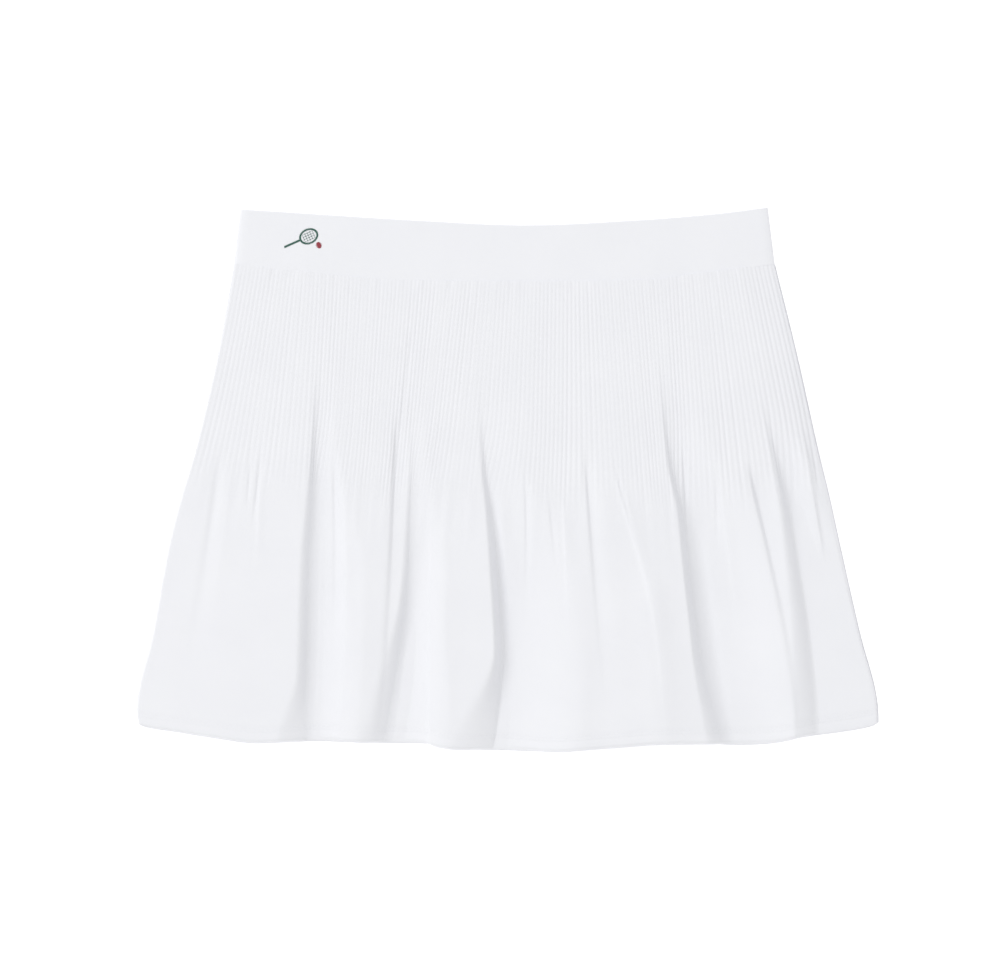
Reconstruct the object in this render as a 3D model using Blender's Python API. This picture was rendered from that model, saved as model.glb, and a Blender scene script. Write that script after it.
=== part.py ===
"""A tennis skirt laid flat: a ribbed knit yoke that opens into a flared plain hem.

The skirt lies on its back on the plane Z = 0, waist towards +Y, front up.
It is cut and sewn from four pieces: a front and a back of the skirt, joined at
the sides, and a front and a back of the elastic waistband. Each is one solid.
All four are walls of cloth between an outer and an inner sheet of points.
"""

import bmesh
import bpy
import numpy as np

MM = 0.001

# Cloth. Sewn edges of neighbouring pieces lie SEAM_GAP apart.
SEAM_GAP = 0.3 * MM
SKIRT_CLOTH = 1.2 * MM
BAND_CLOTH = 2.0 * MM
HEM_CLOTH = 2.2 * MM

# Outline of the piece as it lies, X and Y in millimetres from its middle.
#             X       Y
BAND_TOP = (
    (-179.6, 180.9),
    (-128.6, 177.6),
    (-61.6, 173.4),
    (11.4, 170.2),
    (85.8, 173.5),
    (139.4, 177.8),
    (174.2, 182.2),
)
SEAM = (
    (-183.9, 144.0),
    (-139.4, 138.7),
    (-72.4, 132.9),
    (0.0, 131.8),
    (88.4, 132.6),
    (128.6, 137.4),
    (178.9, 144.0),
)
HEM = (
    (-248.9, -162.3),
    (-242.5, -166.2),
    (-222.4, -169.4),
    (-195.6, -173.6),
    (-168.8, -176.8),
    (-140.7, -175.8),
    (-95.1, -176.4),
    (-54.9, -177.0),
    (-46.9, -179.4),
    (-30.8, -181.2),
    (32.0, -182.6),
    (48.0, -181.4),
    (75.0, -179.3),
    (99.2, -177.4),
    (152.8, -178.0),
    (182.0, -176.3),
    (193.0, -173.6),
    (233.2, -167.8),
    (245.5, -164.9),
    (248.4, -162.6),
)

# Guide lines of the front, one down each side and one down the lip of each
# main fold. rib is the number of ribs to its left, crown the height of the
# cloth over the back at its top, and X its place in millimetres at each of
# GUIDE_DOWN, where 0 is the seam and 1 is the hem.
RIBS = 139
GUIDE_DOWN = (0.0, 0.2, 0.4, 0.5, 0.6, 0.8, 0.967, 1.0)
GUIDES = (
    # rib  crown  X down the skirt
    (0, 6.0, (-183.9, -195.3, -209.7, -218.8, -226.8, -238.1, -248.9, -247.2)),
    (22, 9.0, (-125.3, -128.0, -130.3, -131.5, -133.2, -134.8, -136.4, -137.0)),
    (44, 9.5, (-69.0, -67.0, -64.7, -65.5, -66.2, -72.8, -81.5, -84.0)),
    (62, 11.8, (-21.4, -20.1, -16.1, -12.1, -9.0, -5.5, -9.3, -11.3)),
    (107, 13.6, (95.1, 101.8, 108.5, 116.1, 120.0, 127.6, 139.4, 141.6)),
    (129, 12.4, (152.0, 163.9, 177.9, 185.0, 190.3, 200.4, 205.3, 205.5)),
    (139, 3.6, (178.6, 193.7, 207.4, 214.8, 221.5, 235.3, 247.6, 248.0)),
)

# Main folds. Each one drops down a steep left bank to its guide line, sinks a
# little further over its foot, and climbs back over a long right bank. It opens
# from start and is whole from full. share is the part of the crown's height
# that the valley takes, and foot is the part of the right bank that still sinks.
# Banks have one width and one power half way down, and from widens on they turn
# into the wider ones at the hem. A left bank of power 1 is a straight slope, and
# one of power 2 leaves the cloth level and steepens down to its guide line. The
# foot takes FOOT_DROP of a fold's depth half way down, and sink of it at the hem.
FOLDS = (
    # rib  start  full  share  foot | left, power, right half way | widens | left, power, right, sink at hem
    (22, 0.14, 0.56, 1.00, 0.22, 6.5, 2.0, 40.0, 0.85, 17.0, 1.2, 38.0, 0.24),
    (44, 0.22, 0.84, 1.00, 0.25, 5.0, 2.0, 28.0, 0.68, 17.0, 2.1, 44.0, 0.28),
    (62, 0.20, 0.68, 1.05, 0.08, 5.0, 1.6, 60.0, 0.79, 28.0, 1.6, 60.0, 0.12),
    (107, 0.12, 0.64, 1.00, 0.18, 5.5, 1.5, 74.0, 0.72, 9.5, 1.6, 70.0, 0.45),
    (129, 0.25, 0.56, 1.00, 0.15, 7.0, 2.0, 40.0, 0.54, 15.0, 1.3, 60.0, 0.15),
)
FOOT_DROP = 0.33
BANKS_OPEN_FROM = 0.30
BANKS_OPEN = 0.66
BANKS_AT_FIRST = 0.35
LIP_ROUNDING = 3.0 * MM

# Small creases and ridges, most of them where the ribs let go of the gathered
# cloth. height is up for a ridge and down for a crease; left and right are the
# widths of its two slopes. A crease is whole over CREASE_RISE and then fades.
CREASES = (
    # rib  start  end  height  left  right (mm)
    (5.5, 0.38, 0.95, -1.0, 4.0, 6.0),
    (12.5, 0.36, 0.56, -0.9, 2.5, 2.5),
    (27.5, 0.36, 0.88, -1.3, 2.5, 4.0),
    (30.0, 0.42, 1.15, 1.1, 2.5, 6.0),
    (40.5, 0.28, 1.30, -2.2, 3.0, 17.0),
    (51.0, 0.52, 1.60, 1.1, 2.5, 12.0),
    (64.7, 0.42, 1.08, 1.7, 4.5, 13.0),
    (71.0, 0.38, 0.72, -1.0, 2.5, 3.0),
    (84.6, 0.60, 1.80, -0.8, 10.0, 14.0),
    (85.0, 0.34, 0.98, -1.6, 2.5, 7.0),
    (95.6, 0.60, 1.80, 1.3, 12.0, 11.0),
    (96.5, 0.40, 1.10, 1.1, 2.5, 9.0),
    (112.5, 0.52, 1.60, 1.5, 7.0, 16.0),
    (116.0, 0.38, 0.60, -0.9, 2.5, 2.5),
    (124.7, 0.39, 1.25, -2.8, 3.0, 20.0),
    (134.0, 0.34, 0.95, 1.8, 9.0, 2.5),
)
CREASE_RISE = 0.10

# The front's height over the back, and how its sides roll down to it.
PUFF_AT_SEAM = 0.13
LOFT_FROM = -0.12
LOFT_FULL = 0.84
LEFT_ROLL = 2.0 * MM
RIGHT_ROLL_AT_SEAM = 4.0 * MM
RIGHT_ROLL_AT_HEM = 12.0 * MM
RIGHT_ROLL_FULL = 0.5
LOWEST_CROWN = 0.2 * MM

# Ribs stand up from the yoke's outer face and melt into the plain knit.
RIB_RELIEF = 0.5 * MM
RIBS_FADE_FROM = 0.40
RIBS_GONE = 0.50

# Levels of the front between seam and hem; the last band is the turned-up hem.
# The inner sheet's first and last columns stand SIDE_COLUMN ribs in from the sides.
HEM_FROM = 0.967
HEM_STEP = 0.007
HEM_RAISE_FROM = 0.5
FRONT_LEVELS = (0.0, 0.16, 0.30, 0.42, 0.50, 0.60, 0.70, 0.80, 0.89, HEM_FROM - HEM_STEP, HEM_FROM, 1.0)
COLUMNS_PER_RIB = 2
SIDE_COLUMN = 0.45
PROBE = 0.25 * MM

# The back lies flat. It stays inside the front's outline on the left, and shows
# past it by a thread on the right and along the hem.
BACK_INSET = 1.2 * MM
BACK_SHOWS = 0.7 * MM
BACK_COLUMNS = 46
BACK_LEVELS = (0.0, 0.2, 0.4, 0.5, 0.6, 0.8, HEM_FROM - HEM_STEP, HEM_FROM, 1.0)

# The waistband: its top edge and its ends are folds, so they roll over.
BAND_COLUMNS = 44
BAND_LEVELS = (0.0, 0.012, 0.04, 0.09, 0.5, 0.93, 1.0)
BAND_TOP_ROLL = 2.4 * MM
BAND_END_ROLL = 7.0 * MM
BAND_SEAM_ROLL = 0.8 * MM
BAND_THIN_EDGE = 0.2

WHITE_KNIT = (0.855, 0.863, 0.893, 1.0)
WHITE_BAND = (0.845, 0.853, 0.890, 1.0)
MATTE = 0.9
SHARP_ANGLE = np.radians(40)


def through(points, at):
    """Read a smooth curve that passes through (place, value) points without overshoot."""
    places, values = np.array(points, dtype=float).T
    spans = np.diff(places)
    slopes = np.diff(values) / spans
    tangents = np.zeros(len(places))
    tangents[0] = slopes[0]
    tangents[-1] = slopes[-1]
    same_way = slopes[:-1] * slopes[1:] > 0
    meeting = 2 * slopes[:-1] * slopes[1:] / np.where(same_way, slopes[:-1] + slopes[1:], 1)
    tangents[1:-1] = np.where(same_way, meeting, 0)
    at = np.clip(at, places[0], places[-1])
    cell = np.clip(np.searchsorted(places, at) - 1, 0, len(spans) - 1)
    t = (at - places[cell]) / spans[cell]
    blend = t * t * (3 - 2 * t)
    level = values[cell] * (1 - blend) + values[cell + 1] * blend
    leaving = t * (1 - t) ** 2 * tangents[cell]
    arriving = t * t * (1 - t) * tangents[cell + 1]
    return level + spans[cell] * (leaving - arriving)


def ease(start, full, at):
    """Go from 0 to 1 between start and full, level at both ends."""
    t = np.clip((at - start) / (full - start), 0, 1)
    return t * t * (3 - 2 * t)


def roll(distance, width):
    """Round a folded edge over: 0 at the edge, 1 from width inwards, a quarter ellipse between."""
    t = 1 - np.clip(distance / width, 0, 1)
    return np.sqrt(1 - t * t)


def guide_places(down):
    """Read where every guide line runs at one level, in metres."""
    return np.array([float(through(list(zip(GUIDE_DOWN, xs)), down)) for _, _, xs in GUIDES]) * MM


GUIDE_RIBS = np.array([rib for rib, _, _ in GUIDES], dtype=float)
GUIDE_CROWNS = np.array([crown for _, crown, _ in GUIDES]) * MM


def smoothed(values, width):
    """Round the corners of an evenly probed line with a running mean of one width."""
    half = max(1, int(round(0.5 * width / PROBE)))
    kernel = np.full(2 * half + 1, 1 / (2 * half + 1))
    return np.convolve(np.pad(values, half, mode="edge"), kernel, mode="valid")


def fold_depth(x, guides, crowns, down):
    """Say how far the main folds sink the front below its crown along one level."""
    sunk = np.zeros_like(x)
    opened = BANKS_AT_FIRST + (1 - BANKS_AT_FIRST) * ease(BANKS_OPEN_FROM, BANKS_OPEN, down)
    for rib, start, full, share, foot, left, power, right, widens, *at_hem in FOLDS:
        to_hem = ease(widens, 1.0, down)
        left_at_hem, power_at_hem, right_at_hem, sink_at_hem = at_hem
        lip = np.interp(rib, GUIDE_RIBS, guides)
        past = x - lip
        depth = share * np.interp(lip, x, crowns) * ease(start, full, down)
        left_bank = (left + (left_at_hem - left) * to_hem) * opened * MM
        right_bank = (right + (right_at_hem - right) * to_hem) * opened * MM
        bank_power = power + (power_at_hem - power) * to_hem
        foot_width = foot * right_bank
        sink = FOOT_DROP + (sink_at_hem - FOOT_DROP) * to_hem
        drop = (1 - sink) * (1 - np.clip(-past / left_bank, 0, 1)) ** bank_power
        drop += sink * (1 - (1 - np.clip(past / foot_width, 0, 1)) ** 2)
        sunk += depth * drop * (1 - ease(foot_width, right_bank, past))
    return smoothed(sunk, LIP_ROUNDING)


def crease_height(x, guides, down):
    """Say how far the small creases lift or sink the front along one level."""
    lifted = np.zeros_like(x)
    for rib, start, end, tall, left, right in CREASES:
        past = x - np.interp(rib, GUIDE_RIBS, guides)
        width = np.where(past < 0, left, right) * MM
        whole = start + CREASE_RISE
        shown = ease(start, whole, down) * (1 - ease(whole, end, down))
        lifted += tall * MM * shown * np.exp(-(past / width) ** 2)
    return lifted


def front_face(down):
    """Cut the front's outer face at one level: X and Z of an evenly probed line."""
    guides = guide_places(down)
    probes = int(round((guides[-1] - guides[0]) / PROBE))
    x = np.linspace(guides[0], guides[-1], probes + 1)
    loft = PUFF_AT_SEAM + (1 - PUFF_AT_SEAM) * ease(LOFT_FROM, LOFT_FULL, down)
    crowns = through(list(zip(guides, GUIDE_CROWNS)), x) * loft
    height = crowns - fold_depth(x, guides, crowns, down) + crease_height(x, guides, down)
    height = np.maximum(height, LOWEST_CROWN)

    to_hem = ease(0.0, RIGHT_ROLL_FULL, down)
    right_roll = RIGHT_ROLL_AT_SEAM + (RIGHT_ROLL_AT_HEM - RIGHT_ROLL_AT_SEAM) * to_hem
    height *= roll(x - x[0], LEFT_ROLL) * roll(x[-1] - x, right_roll)
    hem_layers = 2 * (HEM_CLOTH - SKIRT_CLOTH) * ease(HEM_RAISE_FROM, HEM_FROM, down)
    lowest = SKIRT_CLOTH + SEAM_GAP + SKIRT_CLOTH + rib_layer(down) + hem_layers
    return x, lowest + height


def rib_layer(down):
    """Say how thick the layer of ribs is at one level."""
    return RIB_RELIEF * (1 - ease(RIBS_FADE_FROM, RIBS_GONE, down))


def cloth_under(z, thickness):
    """Read the lower face of a wall: everywhere at least one thickness from the upper face z."""
    reach = int(thickness / PROBE)
    padded = np.pad(z, reach, mode="constant", constant_values=np.inf)
    layers = []
    for shift in range(-reach, reach + 1):
        sag = np.sqrt(thickness ** 2 - (shift * PROBE) ** 2)
        layers.append(padded[reach + shift:reach + shift + len(z)] - sag)
    return np.min(layers, axis=0)


def even_places(x, z, guides, wanted):
    """Spread rib places evenly by length of cloth between the guide lines; give their X."""
    length = np.concatenate(([0.0], np.cumsum(np.hypot(np.diff(x), np.diff(z)))))
    at_guides = np.interp(guides, x, length)
    return np.interp(np.interp(wanted, GUIDE_RIBS, at_guides), length, x)


def front_sheets():
    """Lay out the front: an outer sheet with two columns to a rib, an inner one with one."""
    outer_ribs = np.linspace(0, RIBS, RIBS * COLUMNS_PER_RIB + 1)
    inner_ribs = np.linspace(0, RIBS, RIBS + 1)
    inner_ribs[1] = SIDE_COLUMN
    inner_ribs[-2] = RIBS - SIDE_COLUMN
    groove = 0.5 + 0.5 * np.cos(2 * np.pi * outer_ribs)
    outer_rows = []
    inner_rows = []
    for down in FRONT_LEVELS:
        guides = guide_places(down)
        x, z = front_face(down)
        outer_x = even_places(x, z, guides, outer_ribs)
        outer_z = np.interp(outer_x, x, z) - rib_layer(down) * groove
        outer_rows.append((outer_x, outer_z))
        cloth = HEM_CLOTH if down >= HEM_FROM else SKIRT_CLOTH
        under = cloth_under(z, cloth + rib_layer(down))
        inner_x = even_places(x, under, guides, inner_ribs)
        inner_rows.append((inner_x, np.interp(inner_x, x, under)))
    return placed_rows(outer_rows), placed_rows(inner_rows)


def placed_rows(rows):
    """Give Y to the rows of X and Z of a front sheet, from the seam down to the hem."""
    seam_y = through(SEAM, rows[0][0] / MM) * MM - SEAM_GAP
    hem_y = through(HEM, rows[-1][0] / MM) * MM
    points = []
    for down, (row_x, row_z) in zip(FRONT_LEVELS, rows):
        row_y = seam_y * (1 - down) + hem_y * down
        points.append(np.column_stack((row_x, row_y, row_z)))
    return np.array(points)


def back_sheet(height, hem_height):
    """Lay out a flat sheet of the back at one height, and another at its turned-up hem."""
    share = np.linspace(0, 1, BACK_COLUMNS + 1)
    edges = []
    for down in BACK_LEVELS:
        guides = guide_places(down)
        edges.append((guides[0] + BACK_INSET, guides[-1] + BACK_SHOWS))
    xs = [left + (right - left) * share for left, right in edges]
    seam_y = through(SEAM, xs[0] / MM) * MM - SEAM_GAP
    hem_y = through(HEM, xs[-1] / MM) * MM - BACK_SHOWS
    points = []
    for down, x in zip(BACK_LEVELS, xs):
        y = seam_y * (1 - down) + hem_y * down
        z = hem_height if down >= HEM_FROM else height
        points.append(np.column_stack((x, y, np.full_like(x, z))))
    return np.array(points)


def band_sheet(flat_z, swell):
    """Lay out a sheet of the waistband at flat_z, swelling by swell inside its rolled edges."""
    even = np.linspace(0, 1, BAND_COLUMNS + 1)
    share = 0.5 * even + 0.25 * (1 - np.cos(np.pi * even))
    top_x = (BAND_TOP[0][0] + (BAND_TOP[-1][0] - BAND_TOP[0][0]) * share) * MM
    seam_x = (SEAM[0][0] + (SEAM[-1][0] - SEAM[0][0]) * share) * MM
    top_y = through(BAND_TOP, top_x / MM) * MM
    seam_y = through(SEAM, seam_x / MM) * MM
    points = []
    for down in BAND_LEVELS:
        x = top_x * (1 - down) + seam_x * down
        y = top_y * (1 - down) + seam_y * down
        from_top = down * (top_y - seam_y)
        from_seam = (1 - down) * (top_y - seam_y)
        rounded = roll(from_top, BAND_TOP_ROLL)
        rounded *= roll(np.minimum(x - x[0], x[-1] - x), BAND_END_ROLL)
        rounded *= roll(from_seam + BAND_SEAM_ROLL, 2 * BAND_SEAM_ROLL)
        rounded = BAND_THIN_EDGE + (1 - BAND_THIN_EDGE) * rounded
        points.append(np.column_stack((x, y, flat_z + swell * rounded)))
    return np.array(points)


def add_sheet(mesh, points):
    """Add a grid to the mesh and move its vertices to rows of points."""
    levels, columns, _ = points.shape
    grid = bmesh.ops.create_grid(mesh, x_segments=columns - 1, y_segments=levels - 1, size=1.0)
    verts = grid["verts"]
    for vert, point in zip(verts, points.reshape(-1, 3)):
        vert.co = point
    return [verts[level * columns:(level + 1) * columns] for level in range(levels)]


def close_edge(mesh, outer_row, inner_row):
    """Close a wall's edge with a face for each step of the inner row."""
    step = (len(outer_row) - 1) // (len(inner_row) - 1)
    for place in range(len(inner_row) - 1):
        outer = outer_row[place * step:(place + 1) * step + 1]
        mesh.faces.new([*outer, inner_row[place + 1], inner_row[place]])


def make_wall(name, outer_points, inner_points, colour, collection):
    """Make one closed wall of cloth between an outer and an inner sheet of points."""
    mesh = bmesh.new()
    outer = add_sheet(mesh, outer_points)
    inner = add_sheet(mesh, inner_points)
    close_edge(mesh, outer[0], inner[0])
    close_edge(mesh, outer[-1], inner[-1])
    close_edge(mesh, [row[0] for row in outer], [row[0] for row in inner])
    close_edge(mesh, [row[-1] for row in outer], [row[-1] for row in inner])
    bmesh.ops.recalc_face_normals(mesh, faces=mesh.faces[:])
    data = bpy.data.meshes.new(name)
    mesh.to_mesh(data)
    mesh.free()
    data.shade_smooth()
    data.set_sharp_from_angle(angle=SHARP_ANGLE)
    data.materials.append(make_material(name + "_cloth", colour))
    piece = bpy.data.objects.new(name, data)
    collection.objects.link(piece)
    return piece


def make_material(name, colour):
    """Make a matte knitted cloth of one colour."""
    material = bpy.data.materials.new(name)
    material.use_nodes = True
    shader = material.node_tree.nodes["Principled BSDF"]
    shader.inputs["Base Color"].default_value = colour
    shader.inputs["Roughness"].default_value = MATTE
    shader.inputs["Metallic"].default_value = 0.0
    return material


def build():
    """Clear the scene and make the four pieces of the skirt."""
    for item in list(bpy.data.objects):
        bpy.data.objects.remove(item)
    skirt = bpy.data.collections.new("tennis_skirt")
    bpy.context.scene.collection.children.link(skirt)

    front_outer, front_inner = front_sheets()
    make_wall("skirt_front", front_outer, front_inner, WHITE_KNIT, skirt)
    make_wall("skirt_back", back_sheet(SKIRT_CLOTH, HEM_CLOTH), back_sheet(0.0, 0.0),
              WHITE_KNIT, skirt)

    band_floor = BAND_CLOTH + SEAM_GAP
    make_wall("waistband_front", band_sheet(band_floor, BAND_CLOTH),
              band_sheet(band_floor, 0.0), WHITE_BAND, skirt)
    make_wall("waistband_back", band_sheet(BAND_CLOTH, 0.0),
              band_sheet(BAND_CLOTH, -BAND_CLOTH), WHITE_BAND, skirt)


build()
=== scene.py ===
# %% [markdown]
# # A tennis skirt, laid flat
#
# This lesson dresses a rigid model of a knitted tennis skirt. The model's four
# solids already have the right outline, folds and ribs. Here each one gets a
# finer shell of cloth over the same form, a knit that follows the cloth, its
# hem stitches, and a small embroidered mark on the waistband.
#
# Everything is in metres, in the model's own frame: X runs across the front,
# Y from the hem to the waist, and Z up out of the surface the skirt lies on.

import bmesh
import bpy
import numpy as np
from mathutils import Matrix, Vector


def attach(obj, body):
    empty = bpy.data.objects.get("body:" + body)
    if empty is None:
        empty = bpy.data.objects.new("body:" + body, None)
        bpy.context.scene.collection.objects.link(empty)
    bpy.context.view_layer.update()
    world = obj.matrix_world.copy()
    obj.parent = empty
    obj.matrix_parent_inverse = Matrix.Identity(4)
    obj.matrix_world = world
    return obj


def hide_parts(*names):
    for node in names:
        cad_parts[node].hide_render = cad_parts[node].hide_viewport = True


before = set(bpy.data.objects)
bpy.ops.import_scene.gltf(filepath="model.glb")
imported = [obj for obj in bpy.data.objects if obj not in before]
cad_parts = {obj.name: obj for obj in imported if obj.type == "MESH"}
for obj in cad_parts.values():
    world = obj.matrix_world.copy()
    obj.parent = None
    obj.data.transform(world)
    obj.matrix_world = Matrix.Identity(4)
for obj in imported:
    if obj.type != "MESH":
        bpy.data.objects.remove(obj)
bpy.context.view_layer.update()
MM = 0.001
print("solids:", sorted(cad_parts))

# %% [markdown]
# ## Curves through a few measured places
#
# Soft outlines are easiest to give as a short table of places and to read as a
# smooth curve through them. A plain cubic spline can swing past its points;
# this one takes the harmonic mean of the slopes on both sides of a point, and
# goes level where they change sign, so it never overshoots.

# %% Curve helpers


def through(points, at):
    """Read a smooth curve that passes through (place, value) points without overshoot."""
    places, values = np.array(points, dtype=float).T
    spans = np.diff(places)
    slopes = np.diff(values) / spans
    tangents = np.zeros(len(places))
    tangents[0] = slopes[0]
    tangents[-1] = slopes[-1]
    same_way = slopes[:-1] * slopes[1:] > 0
    meeting = 2 * slopes[:-1] * slopes[1:] / np.where(same_way, slopes[:-1] + slopes[1:], 1)
    tangents[1:-1] = np.where(same_way, meeting, 0)
    at = np.clip(at, places[0], places[-1])
    cell = np.clip(np.searchsorted(places, at) - 1, 0, len(spans) - 1)
    t = (at - places[cell]) / spans[cell]
    blend = t * t * (3 - 2 * t)
    level = values[cell] * (1 - blend) + values[cell + 1] * blend
    leaving = t * (1 - t) ** 2 * tangents[cell]
    arriving = t * t * (1 - t) * tangents[cell + 1]
    return level + spans[cell] * (leaving - arriving)


def ease(start, full, at):
    """Go from 0 to 1 between start and full, level at both ends."""
    t = np.clip((at - start) / (full - start), 0, 1)
    return t * t * (3 - 2 * t)


def roll(distance, width):
    """Round a folded edge over: 0 at the edge, 1 from width inwards."""
    t = 1 - np.clip(distance / width, 0, 1)
    return np.sqrt(1 - t * t)


def soft_noise(at, wave, seed):
    """Give smooth random values from -1 to 1 along a line, one swing for each wave."""
    rng = np.random.default_rng(seed)
    count = int(np.max(at) / wave) + 3
    knots = rng.uniform(-1, 1, count)
    cell = np.clip((at / wave).astype(int), 0, count - 2)
    t = ease(0, 1, at / wave - cell)
    return knots[cell] * (1 - t) + knots[cell + 1] * t


print("a curve through three points at 1.5:", float(through([(0, 0), (1, 2), (2, 3)], 1.5)))

# %% [markdown]
# ## The outline as it lies
#
# The waist dips in the middle and so does the seam under the band, because the
# band is cut straight and the skirt hangs from it. The hem is a long uneven
# line: it steps down a little where one fold lies over the next.

# %% Outline, X and Y in millimetres
BAND_TOP = (
    (-179.6, 180.9), (-128.6, 177.6), (-61.6, 173.4), (11.4, 170.2),
    (85.8, 173.5), (139.4, 177.8), (174.2, 182.2),
)
SEAM = (
    (-183.9, 144.0), (-139.4, 138.7), (-72.4, 132.9), (0.0, 131.8),
    (88.4, 132.6), (128.6, 137.4), (178.9, 144.0),
)
HEM = (
    (-248.9, -162.3), (-242.5, -166.2), (-222.4, -169.4), (-195.6, -173.6),
    (-168.8, -176.8), (-140.7, -175.8), (-128.6, -175.3), (-95.1, -176.4),
    (-54.9, -177.0), (-46.9, -179.4), (-30.8, -181.2), (-8.0, -181.4),
    (32.0, -182.6), (48.0, -181.4), (75.0, -179.3), (99.2, -177.4),
    (129.0, -177.0), (152.8, -178.0), (169.0, -177.6), (182.0, -176.3),
    (193.0, -173.6), (233.2, -167.8), (245.5, -164.9), (248.4, -162.6),
)
print("hem across:", round(HEM[-1][0] - HEM[0][0], 1), "mm")

# %% [markdown]
# ## Wales, lips, folds and creases
#
# A wale is one column of stitches, from waist to hem, and a rib is a raised
# wale. The wale table pins a few of the 139 and lets the rest spread between
# them, so they fan out as the skirt flares. The lips of the five main folds
# drift across the wales, so they have paths of their own, and so do the two
# sides. The fold table says how each one drops into its valley and comes back.
# The crease table holds the small ones, most of them where the ribs let go of
# the gathered cloth.

# %% Wales, lips, main folds and small creases
RIBS = 139
SKIRT_CLOTH = 1.2 * MM
HEM_CLOTH = 2.2 * MM
BAND_CLOTH = 2.0 * MM
LAYER_GAP = 0.3 * MM

PATH_DOWN = (0.0, 0.2, 0.4, 0.5, 0.6, 0.8, 0.967, 1.0)
LEFT_SIDE = (-183.9, -195.3, -209.7, -218.8, -226.8, -238.1, -248.9, -247.2)
RIGHT_SIDE = (178.6, 193.7, 207.4, 214.8, 221.5, 235.3, 247.6, 248.0)
SIDE_CROWNS = (6.0, 3.6)
WALES = (
    # rib  X half way  X at the hem (mm)
    (11, -178.0, -205.0),
    (22, -135.4, -150.0),
    (34, -104.6, -114.0),
    (46, -76.5, -88.0),
    (58, -48.9, -57.0),
    (66, -24.0, -32.0),
    (78, 16.3, 15.0),
    (86, 39.7, 45.0),
    (94, 70.0, 80.0),
    (102, 95.0, 108.0),
    (108, 109.0, 125.0),
    (114, 123.0, 143.0),
    (122, 151.0, 176.0),
    (130, 182.0, 211.0),
)
LIPS = (
    # crown  swallowed ribs  X down the skirt (mm)
    (9.0, 1.8, (-125.3, -128.0, -130.3, -131.5, -133.2, -134.8, -136.4, -137.0)),
    (9.5, 1.5, (-69.0, -67.0, -64.7, -65.5, -66.2, -72.8, -81.5, -84.0)),
    (11.8, 1.8, (-21.4, -20.1, -16.1, -12.1, -9.0, -5.5, -9.3, -11.3)),
    (13.6, 1.0, (95.1, 101.8, 108.5, 116.1, 120.0, 127.6, 139.4, 141.6)),
    (12.4, 1.0, (152.0, 163.9, 177.9, 185.0, 190.3, 200.4, 205.3, 205.5)),
)
FOLDS = (
    # start full share foot | left bank (mm) and power, right bank (mm) half way
    # | widens from | the same at the hem, and the foot's drop there
    (0.14, 0.56, 1.00, 0.22, 6.5, 2.0, 40.0, 0.85, 17.0, 1.2, 38.0, 0.24),
    (0.22, 0.84, 1.00, 0.25, 5.0, 2.0, 28.0, 0.68, 17.0, 2.1, 44.0, 0.28),
    (0.20, 0.68, 1.05, 0.06, 4.0, 1.6, 60.0, 0.79, 28.0, 1.6, 60.0, 0.12),
    (0.12, 0.64, 1.00, 0.18, 5.0, 1.5, 74.0, 0.72, 9.5, 1.6, 70.0, 0.45),
    (0.25, 0.56, 1.00, 0.15, 7.0, 2.0, 40.0, 0.54, 15.0, 1.3, 60.0, 0.15),
)
FOOT_DROP = 0.33
CREASE_RISE = 0.10
CREASES = (
    # start  end | X at start, half way, end (mm) | height left right (mm)
    (0.38, 0.95, -191.5, -203.0, -216.5, -1.0, 4.0, 6.0),
    (0.42, 0.80, -183.5, -191.0, -198.0, 0.3, 3.0, 9.0),
    (0.36, 0.52, -171.5, -173.0, -174.5, -0.6, 1.5, 2.0),
    (0.36, 0.56, -164.0, -167.5, -171.0, -0.8, 1.5, 2.5),
    (0.42, 0.66, -165.0, -166.5, -168.0, 0.4, 2.0, 5.0),
    (0.36, 0.88, -116.5, -115.3, -116.5, -1.3, 2.5, 4.0),
    (0.42, 1.15, -110.0, -108.0, -118.5, 1.1, 2.5, 6.0),
    (0.08, 0.46, -63.5, -70.0, -79.0, -0.5, 2.0, 3.0),
    (0.28, 1.30, -74.0, -79.8, -99.0, -2.2, 3.0, 17.0),
    (0.52, 1.60, -51.0, -52.6, -55.0, 1.1, 1.5, 12.0),
    (0.42, 1.08, -7.0, 1.5, 0.5, 1.7, 4.5, 13.0),
    (0.38, 0.72, 11.0, 12.5, 12.0, -0.9, 1.5, 3.0),
    (0.42, 0.66, 26.0, 30.0, 34.0, -0.5, 1.5, 2.5),
    (0.44, 0.85, 36.5, 39.5, 43.0, 0.7, 2.0, 7.0),
    (0.34, 0.98, 51.0, 59.0, 68.0, -1.6, 2.5, 7.0),
    (0.36, 0.58, 68.0, 77.0, 87.0, -0.7, 1.5, 2.0),
    (0.40, 1.10, 70.0, 99.0, 109.0, 1.1, 2.5, 9.0),
    (0.60, 1.80, 94.0, 104.5, 108.0, 1.3, 12.0, 11.0),
    (0.60, 1.80, 56.0, 66.0, 70.0, -0.8, 10.0, 14.0),
    (0.52, 1.60, 132.0, 156.0, 165.0, 1.5, 7.0, 16.0),
    (0.34, 0.62, 116.5, 118.8, 119.5, -1.2, 1.5, 2.0),
    (0.38, 0.60, 138.0, 139.5, 140.0, -0.8, 1.5, 2.5),
    (0.42, 0.85, 140.5, 150.0, 158.0, 0.5, 2.0, 7.0),
    (0.39, 1.25, 159.5, 189.0, 204.0, -3.0, 3.0, 20.0),
    (0.34, 0.95, 195.5, 212.0, 228.5, 1.9, 9.0, 2.0),
    (0.36, 0.50, 202.0, 205.0, 208.0, -0.8, 1.2, 1.5),
    (0.40, 2.00, 209.0, 262.0, 300.0, -0.8, 16.0, 12.0),
)
PUFF_AT_SEAM = 0.13
LOFT_FROM, LOFT_FULL = -0.12, 0.84
HEM_FROM = 0.967

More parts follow.
